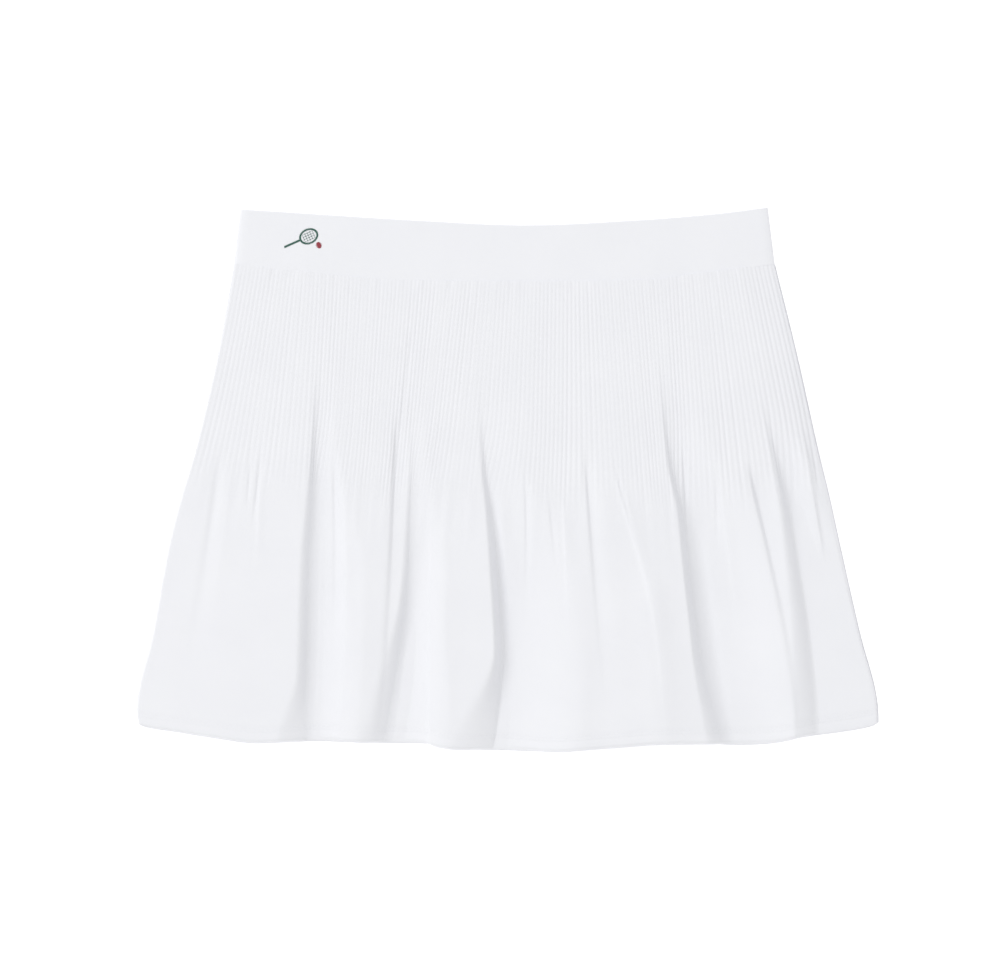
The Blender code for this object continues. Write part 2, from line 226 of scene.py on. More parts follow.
WALE_RIBS = np.array([0, *(rib for rib, _, _ in WALES), RIBS], dtype=float)


def path_at(xs, down):
    """Read where a path down the skirt runs at one level, in metres."""
    return float(through(list(zip(PATH_DOWN, xs)), down)) * MM


def pinned_wales(down):
    """Read where the pinned wales run at one level, from the left side to the right."""
    at_seam = np.interp(WALE_RIBS, (0, RIBS), (LEFT_SIDE[0], RIGHT_SIDE[0])) * MM
    inner = [
        float(through([(0.0, start / MM), (0.5, half_way), (1.0, at_hem)], down)) * MM
        for start, (_, half_way, at_hem) in zip(at_seam[1:-1], WALES)
    ]
    return np.array([path_at(LEFT_SIDE, down), *inner, path_at(RIGHT_SIDE, down)])


print(len(FOLDS), "main folds and", len(CREASES), "creases")

# %% [markdown]
# ## Ribs
#
# The yoke is knitted in fine ribs that let go half way down, where the skirt
# widens. A bump texture could draw them, but here each groove is sunk in the
# mesh itself, so the ribs bend with the folds and catch the light as they do.
# Real ribs aren't all alike. Each groove has a depth and an end of its own,
# and the ribs grow fainter and stronger in slow patches. They are pressed
# flatter just under the band, and stand out most at the skirt's right end.

# %% Ribs
RIB_RELIEF = 0.34 * MM
RIB_LET_GO = (
    # rib  share of the way down
    (0, 0.49), (22, 0.49), (44, 0.50), (62, 0.49), (107, 0.52), (129, 0.53), (139, 0.51),
)
RIB_FADE = 0.10
YOKE_FADES, YOKE_GONE = 0.4, 0.5
GROOVE_POWER = 1.4
WEAKEST_GROOVE, STRONGEST_GROOVE = 0.50, 1.20
GROOVE_REACH = 0.02
GROOVE_SEED = 41
PATCH_LEVEL, PATCH_SWING = 0.80, 0.35
PATCH_RIBS, PATCH_DRIFT, PATCH_SEED = 3.7, 11, 17
RIGHT_END, RIGHT_END_BOOST = (126, 137), 0.62
RIGHT_YOKE, RIGHT_YOKE_DOWN, RIGHT_YOKE_BOOST = (108, 115), (0.12, 0.30), 0.32
BAND_PRESS, BAND_PRESS_REACH = 0.45, 0.03

rng = np.random.default_rng(GROOVE_SEED)
groove_strength = rng.uniform(WEAKEST_GROOVE, STRONGEST_GROOVE, RIBS + 2)
groove_reach = rng.uniform(-GROOVE_REACH, GROOVE_REACH, RIBS + 2)


def nearest_groove(ribs):
    """Number the groove nearest to each place: grooves lie at whole rib numbers."""
    return np.clip((ribs + 0.5).astype(int), 0, RIBS)


def groove_at(ribs):
    """Say how deep in a groove each place lies: 1 at its bottom, 0 on a rib's crest."""
    return (0.5 + 0.5 * np.cos(2 * np.pi * ribs)) ** GROOVE_POWER


def rib_shown(ribs, down):
    """Say how much of its relief each rib still has at one level."""
    let_go = through(RIB_LET_GO, ribs) + groove_reach[nearest_groove(ribs)]
    drifted = ribs + PATCH_DRIFT * down
    patchy = PATCH_LEVEL + PATCH_SWING * soft_noise(drifted, PATCH_RIBS, PATCH_SEED)
    patchy += RIGHT_END_BOOST * ease(*RIGHT_END, ribs)
    patchy += RIGHT_YOKE_BOOST * ease(*RIGHT_YOKE, ribs) * ease(*RIGHT_YOKE_DOWN, down)
    under_band = BAND_PRESS + (1 - BAND_PRESS) * ease(0.0, BAND_PRESS_REACH, down)
    return patchy * under_band * (1 - ease(let_go - RIB_FADE, let_go, down))


print("groove strengths:", round(groove_strength.min(), 2), "to", round(groove_strength.max(), 2))

# %% [markdown]
# ## Folds, creases and gathers
#
# The skirt is wider than its waist, so when it is laid down the spare cloth falls into folds that
# start in the yoke and widen to the hem. A simulation would find some folds, but not the ones
# wanted, so these are placed one by one.
# The front starts as a low crown of air between the two layers. Each main fold
# drops steeply from its lip, sinks a little further over its foot, and climbs
# slowly after it. Small gathers mark the line where the ribs let go, the two
# sides roll over, and the last two millimetres of the hem curl under.

# %% Folds, creases and gathers
SKIRT_LENGTH = 0.318
BANKS_AT_FIRST, BANKS_OPEN_FROM, BANKS_OPEN = 0.35, 0.30, 0.66
BANK_ROUNDING = 9
CREASES_AT_FIRST, CREASES_OPEN_FROM, CREASES_OPEN = 0.6, 0.46, 0.80
GATHER, GATHER_RIBS, GATHER_SEED = 0.25 * MM, 1.6, 7
GATHERS_AT, GATHERS_SPREAD = 0.50, 0.06
SEAM_PUCKER, SEAM_PUCKER_RIBS, SEAM_PUCKER_SEED = 0.30 * MM, 1.3, 9
SEAM_PUCKER_REACH = 0.02
LOWEST_CROWN = 0.2 * MM
LEFT_ROLL = 2.0 * MM
RIGHT_ROLL_AT_SEAM, RIGHT_ROLL_AT_HEM, RIGHT_ROLL_FULL = 4.0 * MM, 12.0 * MM, 0.5
RIGHT_ROLL_POWER = 2.0
HEM_CURL, HEM_CURL_WIDTH, HEM_CURL_POWER = 2.8 * MM, 1.9 * MM, 1.25
HEM_CURL_MOST = 0.5


def fold_depth(x, crowns, down):
    """Say how far the main folds sink the front below its crown along one level."""
    sunk = np.zeros_like(x)
    opened = BANKS_AT_FIRST + (1 - BANKS_AT_FIRST) * ease(BANKS_OPEN_FROM, BANKS_OPEN, down)
    for (_, _, path), fold in zip(LIPS, FOLDS):
        start, full, share, foot, left, power, right, widens, *at_hem = fold
        wide_left, wide_power, wide_right, wide_sink = at_hem
        to_hem = ease(widens, 1.0, down)
        past = x - path_at(path, down)
        depth = share * np.interp(0, past, crowns) * ease(start, full, down)
        left = (left + (wide_left - left) * to_hem) * opened * MM
        right = (right + (wide_right - right) * to_hem) * opened * MM
        power += (wide_power - power) * to_hem
        sink = FOOT_DROP + (wide_sink - FOOT_DROP) * to_hem
        drop = (1 - sink) * (1 - np.clip(-past / left, 0, 1)) ** power
        drop += sink * (1 - (1 - np.clip(past / (foot * right), 0, 1)) ** 2)
        sunk += depth * drop * (1 - ease(foot * right, right, past))
    kernel = np.full(BANK_ROUNDING, 1 / BANK_ROUNDING)
    return np.convolve(np.pad(sunk, BANK_ROUNDING // 2, mode="edge"), kernel, mode="valid")


def crease_height(x, down):
    """Say how far the small creases lift or sink the front along one level."""
    lifted = np.zeros_like(x)
    opened = ease(CREASES_OPEN_FROM, CREASES_OPEN, down)
    spread = CREASES_AT_FIRST + (1 - CREASES_AT_FIRST) * opened
    for start, end, x_start, x_middle, x_end, tall, left, right in CREASES:
        path = [(start, x_start), (0.5 * (start + end), x_middle), (end, x_end)]
        past = x - float(through(path, down)) * MM
        width = np.where(past < 0, left, right) * spread * MM
        shown = ease(start, start + CREASE_RISE, down) * (1 - ease(start + CREASE_RISE, end, down))
        lifted += tall * MM * shown * np.exp(-(past / width) ** 2)
    return lifted


def front_height(ribs, x, down):
    """Say how high the front's cloth stands clear of the back along one level."""
    loft = PUFF_AT_SEAM + (1 - PUFF_AT_SEAM) * ease(LOFT_FROM, LOFT_FULL, down)
    lips = [(path_at(path, down), crown * MM) for crown, _, path in LIPS]
    sides = [(x[0], SIDE_CROWNS[0] * MM), (x[-1], SIDE_CROWNS[1] * MM)]
    crowns = through([sides[0], *lips, sides[1]], x) * loft
    height = crowns - fold_depth(x, crowns, down) + crease_height(x, down)
    gathered = np.exp(-((down - GATHERS_AT) / GATHERS_SPREAD) ** 2)
    height += GATHER * gathered * soft_noise(ribs, GATHER_RIBS, GATHER_SEED)
    by_seam = np.exp(-down / SEAM_PUCKER_REACH)
    height += SEAM_PUCKER * by_seam * soft_noise(ribs, SEAM_PUCKER_RIBS, SEAM_PUCKER_SEED)

    wider = RIGHT_ROLL_AT_HEM - RIGHT_ROLL_AT_SEAM
    right_roll = RIGHT_ROLL_AT_SEAM + wider * ease(0.0, RIGHT_ROLL_FULL, down)
    height = np.maximum(height, LOWEST_CROWN) * roll(x - x[0], LEFT_ROLL)
    height *= roll(x[-1] - x, right_roll) ** RIGHT_ROLL_POWER
    from_hem = (1 - down) * SKIRT_LENGTH
    curl = HEM_CURL * max(0, 1 - from_hem / HEM_CURL_WIDTH) ** HEM_CURL_POWER
    return height - np.minimum(curl, HEM_CURL_MOST * height)


heights = [tall for *_, tall, _, _ in CREASES]
print("creases stand from", min(heights), "to", max(heights), "mm")

# %% [markdown]
# ## One level across the front
#
# At each level from seam to hem the front is a wavy line in X and Z. Its points
# are spread evenly by length between the pinned wales, as stitches lie in real
# cloth, so they crowd together in the valleys. A few ribs on the right of each
# fold are drawn into it, where the gathered cloth dives. Near the hem the front
# rises by two layers, since its own hem and the back's are both turned up.

# %% One level across the front
PROBES_PER_RIB = 18
SIDE_CLOTH, SIDE_TUCK = 0.3 * MM, 1.6 * MM
HEM_RAISE_FROM = 0.5
SWALLOW_FROM, SWALLOW_FULL, SWALLOW_REACH = 0.28, 0.52, 32 * MM
SWALLOW_BEFORE, SWALLOW_AFTER = -1 * MM, 3 * MM


def pressed_height(x, down):
    """Say how far the outer face stands over the back where the front is pressed onto it."""
    hem_layers = 2 * (HEM_CLOTH - SKIRT_CLOTH) * ease(HEM_RAISE_FROM, HEM_FROM, down)
    wall = SKIRT_CLOTH + RIB_RELIEF * (1 - ease(YOKE_FADES, YOKE_GONE, down)) + hem_layers
    return SIDE_CLOTH + (wall - SIDE_CLOTH) * roll(np.minimum(x - x[0], x[-1] - x), SIDE_TUCK)


def spread_ribs(ribs, x, length, down):
    """Spread the ribs by length between the pinned wales, and draw a few into each fold."""
    even_ribs = np.interp(length, np.interp(WALE_RIBS, ribs, length), WALE_RIBS)
    for _, swallowed, path in LIPS:
        past = x - path_at(path, down)
        drawn = ease(SWALLOW_FROM, SWALLOW_FULL, down) * ease(SWALLOW_BEFORE, SWALLOW_AFTER, past)
        even_ribs += swallowed * drawn * np.exp(-np.maximum(past, 0) / SWALLOW_REACH)
    return np.clip(even_ribs, 0, RIBS)


def front_section(down):
    """Cut across the front at one level: rib number, X, Z and normal of a dense row of points."""
    ribs = np.linspace(0, RIBS, RIBS * PROBES_PER_RIB + 1)
    x = through(list(zip(WALE_RIBS, pinned_wales(down))), ribs)
    z = SKIRT_CLOTH + LAYER_GAP + pressed_height(x, down) + front_height(ribs, x, down)
    run = np.gradient(x)
    climb = np.gradient(z)
    stretch = np.hypot(run, climb)
    steps = np.hypot(np.diff(x), np.diff(z))
    length = np.concatenate(([0.0], np.cumsum(steps)))
    return spread_ribs(ribs, x, length, down), x, z, -climb / stretch, run / stretch


_, hem_x, hem_z, _, _ = front_section(1.0)
HEM_ARC = float(np.sum(np.hypot(np.diff(hem_x), np.diff(hem_z))))
print("cloth along the hem:", round(HEM_ARC, 3), "m over", round(hem_x[-1] - hem_x[0], 3), "m")

# %% [markdown]
# ## Sheets and walls
#
# A panel is a wall of cloth between an outer and an inner sheet. Each sheet is
# a bmesh grid whose vertices move to their places, and the rims between them
# are closed with one row of faces. Solidify would do this too, but then the
# inside would be as dense as the ribbed outside.

# %% Grid helpers


def add_sheet(mesh, points):
    """Add a grid to the mesh and move its vertices to rows of points."""
    levels, columns, _ = points.shape
    grid = bmesh.ops.create_grid(mesh, x_segments=columns - 1, y_segments=levels - 1, size=1.0)
    verts = grid["verts"]
    for vert, point in zip(verts, points.reshape(-1, 3)):
        vert.co = point
    return [verts[level * columns:(level + 1) * columns] for level in range(levels)]


def close_edge(mesh, outer_row, inner_row):
    """Close a wall's edge with a face for each step of the inner row."""
    step = (len(outer_row) - 1) // (len(inner_row) - 1)
    for place in range(len(inner_row) - 1):
        outer = outer_row[place * step:(place + 1) * step + 1]
        rim = mesh.faces.new([*outer, inner_row[place + 1], inner_row[place]])
        for edge in rim.edges:
            edge.smooth = False


def finish_piece(name, mesh, cloth_places=None):
    """Turn a bmesh into a smooth object, with a UV map of each vertex's place in the cloth."""
    bmesh.ops.recalc_face_normals(mesh, faces=mesh.faces[:])
    data = bpy.data.meshes.new(name)
    mesh.to_mesh(data)
    mesh.free()
    data.shade_smooth()
    if cloth_places is not None:
        uv = data.uv_layers.new(name="cloth")
        corners = np.empty(len(data.loops), dtype=np.int32)
        data.loops.foreach_get("vertex_index", corners)
        uv.data.foreach_set("uv", cloth_places[corners].astype(np.float32).ravel())
    piece = bpy.data.objects.new(name, data)
    bpy.context.scene.collection.objects.link(piece)
    return piece


def make_wall(name, outer_points, inner_points, outer_cloth, inner_cloth):
    """Make one closed wall between two sheets, with the cloth places of both as its UV map."""
    mesh = bmesh.new()
    outer = add_sheet(mesh, outer_points)
    inner = add_sheet(mesh, inner_points)
    close_edge(mesh, outer[0], inner[0])
    close_edge(mesh, outer[-1], inner[-1])
    close_edge(mesh, [row[0] for row in outer], [row[0] for row in inner])
    close_edge(mesh, [row[-1] for row in outer], [row[-1] for row in inner])
    cloth_places = np.concatenate((outer_cloth.reshape(-1, 2), inner_cloth.reshape(-1, 2)))
    return finish_piece(name, mesh, cloth_places)


print("helpers ready")

# %% [markdown]
# ## The front of the skirt
#
# The outer sheet has six columns to a rib, enough to round each one. The hem is
# turned up once, so the last centimetre is two layers thick and its lower edge
# is a soft fold. Its two rows of stitches press fine lines into the cloth.

# %% Front panel
SEAM_TUCK = 0.5 * MM
RIB_CLOTH = HEM_ARC / RIBS
OUTER_PER_RIB = 6
INNER_PER_RIB = 2
NEAR_HEM = (
    0.957, 0.962, 0.965, 0.968, 0.9715, 0.9745, 0.98, 0.988, 0.9935, 0.996, 0.998, 0.9993, 1.0,
)
LEVELS = np.concatenate((
    np.linspace(0.0, 0.02, 3),
    np.linspace(0.04, 0.38, 18),
    np.linspace(0.40, 0.56, 15),
    np.linspace(0.575, 0.95, 28),
    NEAR_HEM,
))
HEM_FOLD_REACH = 0.8 * HEM_CLOTH
HEM_FOLD_INSIDE = 0.9
HEM_LAYER_FROM, HEM_LAYER_FULL = 0.957, 0.965
LOWER_ROW = HEM_FROM + 0.0075
STITCH_LINES = (
    # level  depth  half width, as a share of the way down
    (HEM_FROM, 0.20 * MM, 0.0025),
    (LOWER_ROW, 0.14 * MM, 0.0020),
)


def front_sheet(per_rib, depth_at):
    """Lay out a sheet of the front, depth_at(ribs, down) under its outer face."""
    wanted = np.linspace(0, RIBS, RIBS * per_rib + 1)
    rows = []
    for down in LEVELS:
        ribs, x, z, out_x, out_z = front_section(down)
        depth = depth_at(wanted, down)
        row_x = np.interp(wanted, ribs, x) - depth * np.interp(wanted, ribs, out_x)
        row_z = np.interp(wanted, ribs, z) - depth * np.interp(wanted, ribs, out_z)
        rows.append((row_x, row_z))
    seam_y = through(SEAM, rows[0][0] / MM) * MM
    hem_y = through(HEM, rows[-1][0] / MM) * MM
    points = [
        np.column_stack((row_x, (seam_y + SEAM_TUCK) * (1 - down) + hem_y * down, row_z))
        for down, (row_x, row_z) in zip(LEVELS, rows)
    ]
    cloth = [
        np.column_stack((wanted * RIB_CLOTH, np.full_like(wanted, down * SKIRT_LENGTH)))
        for down in LEVELS
    ]
    return np.array(points), np.array(cloth)


def hem_edge(down):
    """Say how far the hem's fold has drawn in from its full thickness at one level."""
    return 0.5 * HEM_CLOTH * (1 - roll((1 - down) * SKIRT_LENGTH, HEM_FOLD_REACH))


def outer_depth(ribs, down):
    """Sink the grooves between the ribs and the lines of stitches, and round the hem's fold."""
    relief = RIB_RELIEF * rib_shown(ribs, down) * groove_strength[nearest_groove(ribs)]
    lines = sum(
        depth * np.exp(-((down - level) / width) ** 2) for level, depth, width in STITCH_LINES
    )
    return relief * groove_at(ribs) + hem_edge(down) + lines


def inner_depth(ribs, down):
    """Put the inner sheet one cloth down, and two where the hem is turned up."""
    yoke = RIB_RELIEF * (1 - ease(YOKE_FADES, YOKE_GONE, down))
    turned_up = ease(HEM_LAYER_FROM, HEM_LAYER_FULL, down)
    cloth = SKIRT_CLOTH + (HEM_CLOTH - SKIRT_CLOTH) * turned_up
    return np.full_like(ribs, cloth + yoke - hem_edge(down) * HEM_FOLD_INSIDE)


front_outer, front_outer_cloth = front_sheet(OUTER_PER_RIB, outer_depth)
front_inner, front_inner_cloth = front_sheet(INNER_PER_RIB, inner_depth)
skirt_front = make_wall(
    "skirt_front_cloth", front_outer, front_inner, front_outer_cloth, front_inner_cloth
)
print("front:", len(skirt_front.data.polygons), "faces at", len(LEVELS), "levels")

# %% [markdown]
# ## The back of the skirt
#
# The back carries the same ribs. It lies on them, so their crests stay level
# and only the grooves rise, and a few shallow troughs stand in for the folds
# that the surface presses flat.

# %% Back panel
BACK_PER_RIB = 4
BACK_SHOWS = 0.7 * MM
BACK_INSET = 1.2 * MM
BACK_NEAR_HEM = (0.96, 0.966, 0.975, 0.985, 0.992, 0.996, 0.998, 0.9993, 1.0)
BACK_LEVELS = np.concatenate((
    np.linspace(0.0, 0.40, 12),
    np.linspace(0.42, 0.56, 10),
    np.linspace(0.60, 0.95, 14),
    BACK_NEAR_HEM,
))
BACK_RIB_RELIEF = 0.4 * MM
BACK_SIDE_ROLL, BACK_HEM_ROLL = 1.6 * MM, 1.1 * MM
BACK_THINNEST = 0.15
BACK_HEM_LAYER_FROM, BACK_HEM_LAYER_FULL = 0.958, 0.966
BACK_HEM_DROP = 0.4
TROUGHS_FULL = 0.8
BACK_TROUGHS = (
    # rib  start  depth (mm)  width (mm)
    (14, 0.40, 0.5, 9.0),
    (37, 0.34, 0.7, 8.0),
    (58, 0.42, 0.5, 10.0),
    (83, 0.36, 0.7, 9.0),
    (101, 0.44, 0.4, 8.0),
    (124, 0.38, 0.6, 9.0),
)


def back_sheet(per_rib, height_at):
    """Lay out a sheet of the back under the front, at height_at(ribs, edge, down)."""
    wanted = np.linspace(0, RIBS, RIBS * per_rib + 1)
    across = []
    for down in BACK_LEVELS:
        ends = (path_at(LEFT_SIDE, down) + BACK_INSET, path_at(RIGHT_SIDE, down) + BACK_SHOWS)
        across.append(np.interp(wanted, (0, RIBS), ends))
    seam_y = through(SEAM, across[0] / MM) * MM
    hem_y = through(HEM, across[-1] / MM) * MM - BACK_SHOWS
    points = []
    cloth = []
    for down, x in zip(BACK_LEVELS, across):
        edge = np.minimum(x - x[0], x[-1] - x)
        y = seam_y * (1 - down) + hem_y * down
        cloth_down = np.full_like(wanted, down * SKIRT_LENGTH)
        points.append(np.column_stack((x, y, height_at(wanted, edge, down))))
        cloth.append(np.column_stack((wanted * RIB_CLOTH, cloth_down)))
    return np.array(points), np.array(cloth)


def back_underside(ribs, edge, down):
    """Raise the grooves, troughs and rolled edges of the back from the surface it lies on."""
    height = BACK_RIB_RELIEF * groove_at(ribs) * rib_shown(ribs, down)
    for rib, start, depth, width in BACK_TROUGHS:
        past = (ribs - rib) * RIB_CLOTH
        height += depth * MM * ease(start, TROUGHS_FULL, down) * np.exp(-(past / (width * MM)) ** 2)
    cloth = HEM_CLOTH if down > HEM_FROM else SKIRT_CLOTH
    edge_lift = 1 - roll(edge, BACK_SIDE_ROLL) * roll((1 - down) * SKIRT_LENGTH, BACK_HEM_ROLL)
    return np.clip(height + 0.5 * cloth * edge_lift, 0, (1 - BACK_THINNEST) * cloth)


def back_inside(ribs, edge, down):
    """Keep the back's inside level, one cloth up, and two where its hem is turned up."""
    turned_up = ease(BACK_HEM_LAYER_FROM, BACK_HEM_LAYER_FULL, down)
    cloth = SKIRT_CLOTH + (HEM_CLOTH - SKIRT_CLOTH) * turned_up
    edge_drop = 1 - roll((1 - down) * SKIRT_LENGTH, BACK_HEM_ROLL)
    return np.full_like(ribs, cloth - BACK_HEM_DROP * cloth * edge_drop)


back_outer, back_outer_cloth = back_sheet(BACK_PER_RIB, back_underside)
back_inner, back_inner_cloth = back_sheet(1, back_inside)
skirt_back = make_wall(
    "skirt_back_cloth", back_outer, back_inner, back_outer_cloth, back_inner_cloth
)
print("back:", len(skirt_back.data.polygons), "faces")

# %% [markdown]
# ## The waistband
#
# The band is a smooth, dense knit folded over a wide elastic. Its top edge is
# that fold, so it is round on both sides, and its two ends roll over to meet
# the other half. It has no visible seam of its own but the one to the skirt.

# %% Waistband
BAND_COLUMNS = 240
BAND_NEAR_TOP = (0.0, 0.002, 0.006, 0.013, 0.022, 0.034, 0.05, 0.08)
BAND_NEAR_SEAM = (0.94, 0.965, 0.98, 0.99, 0.996, 1.0)
BAND_LEVELS = np.concatenate((BAND_NEAR_TOP, np.linspace(0.12, 0.90, 14), BAND_NEAR_SEAM))
BAND_HEIGHT = 0.038
BAND_LENGTH = (SEAM[-1][0] - SEAM[0][0]) * MM
BAND_FOLD = 1.1 * MM
BAND_SEAM_ROLL, BAND_SEAM_SHOWS = 0.5 * MM, 0.4 * MM
BAND_END_ROLL = 7.0 * MM
LEAST_AT_EDGE, LEAST_AT_END = 0.06, 0.08
OUTER_END, INNER_END = 0.2 * MM, 0.1 * MM
RIPPLE_STEPS, RIPPLE_REACH = 40, 6 * MM
RIPPLES = (
    # height  wave, in fortieths of the band  seed
    (0.10 * MM, 2.3, 3),
    (0.06 * MM, 0.7, 5),
)


def band_sheet(layer_z, swell, ends_meet):
    """Lay out one face of a band layer, swollen from layer_z, with its ends at ends_meet."""
    # The columns crowd a little towards both ends, where the band rolls over.
    even = np.linspace(0, 1, BAND_COLUMNS + 1)
    share = 0.5 * even + 0.25 * (1 - np.cos(np.pi * even))
    top_x = (BAND_TOP[0][0] + (BAND_TOP[-1][0] - BAND_TOP[0][0]) * share) * MM
    seam_x = (SEAM[0][0] + (SEAM[-1][0] - SEAM[0][0]) * share) * MM
    top_y = through(BAND_TOP, top_x / MM) * MM
    seam_y = through(SEAM, seam_x / MM) * MM
    ripple = sum(
        tall * soft_noise(share * RIPPLE_STEPS, wave, seed) for tall, wave, seed in RIPPLES
    )
    points = []
    cloth = []
    for down in BAND_LEVELS:
        x = top_x * (1 - down) + seam_x * down
        y = top_y * (1 - down) + seam_y * down
        from_top = down * (top_y - seam_y)
        from_seam = (1 - down) * (top_y - seam_y)
        edge = np.minimum(x - x[0], x[-1] - x)
        rounded = roll(from_top, BAND_FOLD) * roll(from_seam + BAND_SEAM_SHOWS, BAND_SEAM_ROLL)
        rounded = LEAST_AT_EDGE + (1 - LEAST_AT_EDGE) * rounded
        near_seam = np.exp(-from_seam / RIPPLE_REACH)
        body = layer_z + swell * rounded + np.sign(swell) * ripple * near_seam * rounded
        open_by = LEAST_AT_END + (1 - LEAST_AT_END) * roll(edge, BAND_END_ROLL)
        z = ends_meet + (body - ends_meet) * open_by
        cloth_down = np.full_like(share, down * BAND_HEIGHT)
        points.append(np.column_stack((x, y, np.maximum(z, 0))))
        cloth.append(np.column_stack((share * BAND_LENGTH, cloth_down)))
    return np.array(points), np.array(cloth)


def make_band(name, middle_z, out):
    """Make one layer of the band about its middle height: out is 1 in front and -1 behind."""
    ends_meet = BAND_CLOTH + 0.5 * LAYER_GAP
    outer = band_sheet(middle_z, out * 0.5 * BAND_CLOTH, ends_meet + out * OUTER_END)
    inner = band_sheet(middle_z, -out * 0.5 * BAND_CLOTH, ends_meet + out * INNER_END)
    return make_wall(name, outer[0], inner[0], outer[1], inner[1])


waistband_back = make_band("waistband_back_cloth", 0.5 * BAND_CLOTH, -1)
waistband_front = make_band("waistband_front_cloth", 1.5 * BAND_CLOTH + LAYER_GAP, 1)
print("band:", len(waistband_front.data.polygons), "faces a layer")

# %% [markdown]
# ## Hem stitches
#
# The hem is held by two rows of small stitches, as a twin needle sews them,
# about a centimetre above the edge. Each stitch is a stretched sphere of thread
# that lies on the cloth: its place comes from the outer sheet's own points.

# %% Hem stitches
STITCH_PITCH = 3.0 * MM
STITCH_LENGTH = 2.3 * MM
STITCH_RADIUS = 0.20 * MM
STITCH_LIFT = 0.05 * MM
ROW_STARTS, ROW_STOPS = 1.5 * MM, 1.0 * MM
STRAND_FLATNESS = 0.8


def add_strand(mesh, start, end, radius, up):
    """Add one plump stitch of thread from start to end, flattened a little towards the cloth."""
    along = end - start
    side = up.cross(along).normalized()
    top = along.normalized().cross(side)
    turn = Matrix((side, along.normalized(), -top)).transposed().to_4x4()
    size = Matrix.Diagonal((radius, 0.5 * along.length, STRAND_FLATNESS * radius, 1.0))
    place = Matrix.Translation((start + end) / 2) @ turn @ size
    bmesh.ops.create_uvsphere(mesh, u_segments=6, v_segments=5, radius=1.0, matrix=place)


def hem_stitches(name, rows):
    """Sew rows of stitches through the front, one at each level given."""
    mesh = bmesh.new()
    for down in rows:
        level = int(np.argmin(np.abs(LEVELS - down)))
        line = front_outer[level]
        normals = np.cross(np.gradient(line, axis=0), line - front_outer[level - 2])
        normals *= np.sign(normals[:, 2:3])
        steps = np.linalg.norm(np.diff(line, axis=0), axis=1)
        length = np.concatenate(([0.0], np.cumsum(steps)))
        last = length[-1] - STITCH_LENGTH - ROW_STOPS
        for start in np.arange(ROW_STARTS, last, STITCH_PITCH):
            ends = [
                Vector([float(np.interp(at, length, line[:, axis])) for axis in range(3)])
                for at in (start, start + STITCH_LENGTH)
            ]
            middle = start + 0.5 * STITCH_LENGTH
            up = Vector([float(np.interp(middle, length, normals[:, axis])) for axis in range(3)])
            up.normalize()
            lift = up * STITCH_LIFT
            add_strand(mesh, ends[0] + lift, ends[1] + lift, STITCH_RADIUS, up)
    return finish_piece(name, mesh)


stitch_row = hem_stitches("hem_stitches_front", [level for level, _, _ in STITCH_LINES])
print("hem stitches:", len(stitch_row.data.polygons), "faces")

# %% [markdown]
# ## The embroidered mark
#
# A small racket and ball in satin stitch sit on the left of the band. Satin
# stitch is many strands laid side by side across a narrow shape, so the frame
# and the handle are lines that short strands cross. Each string of the racket
# is one long strand, and the ball is a few of them in rows.

# %% Racket and ball
MARK_X, MARK_Y = -138.3 * MM, 160.4 * MM
MARK_TURN = np.radians(24)
MARK_Z = 2 * BAND_CLOTH + LAYER_GAP + STITCH_LIFT
THREAD_RADIUS, STRING_RADIUS = 0.24 * MM, 0.16 * MM
UP = Vector((0, 0, 1))

# Places and sizes on the mark, in millimetres along and across the racket.
HEAD_MIDDLE, HEAD_LONG, HEAD_WIDE = 5.2, 6.0, 4.6
HEAD_FRAME, HEAD_STRANDS = 1.7, 76
HANDLE_FROM, HANDLE_TO, HANDLE_WIDTH, HANDLE_STRANDS = -1.6, -12.5, 1.8, 28
LONG_STRINGS = (-2.4, -0.8, 0.8, 2.4)
CROSS_STRINGS = (1.6, 3.4, 5.2, 7.0, 8.8)
STRING_INSET = 0.8
BALL_ALONG, BALL_ACROSS, BALL_RADIUS = 9.0, -8.2, 2.25
BALL_ROWS = np.linspace(-2.0, 2.0, 11)
SATIN_SLANT = 0.25


def mark_place(along, across):
    """Turn a place on the racket, in millimetres from its middle, into one on the band."""
    x = along * np.cos(MARK_TURN) - across * np.sin(MARK_TURN)
    y = along * np.sin(MARK_TURN) + across * np.cos(MARK_TURN)
    return Vector((MARK_X + x * MM, MARK_Y + y * MM, MARK_Z))


def satin_line(mesh, places, width):
    """Lay short strands across a line of (along, across) places, each width millimetres long."""
    places = np.array(places)
    headings = np.gradient(places, axis=0)
    for (along, across), (run, climb) in zip(places, headings):
        length = np.hypot(run, climb)
        side = np.array((-climb, run)) / length * width / 2
        slant = np.array((run, climb)) / length * SATIN_SLANT
        start = mark_place(along - side[0] - slant[0], across - side[1] - slant[1])
        end = mark_place(along + side[0] + slant[0], across + side[1] + slant[1])
        add_strand(mesh, start, end, THREAD_RADIUS, UP)


def half_chord(off_middle, half_axis, other_half_axis):
    """Say how far an ellipse reaches along one axis, at off_middle along the other."""
    return half_axis * np.sqrt(1 - (off_middle / other_half_axis) ** 2)


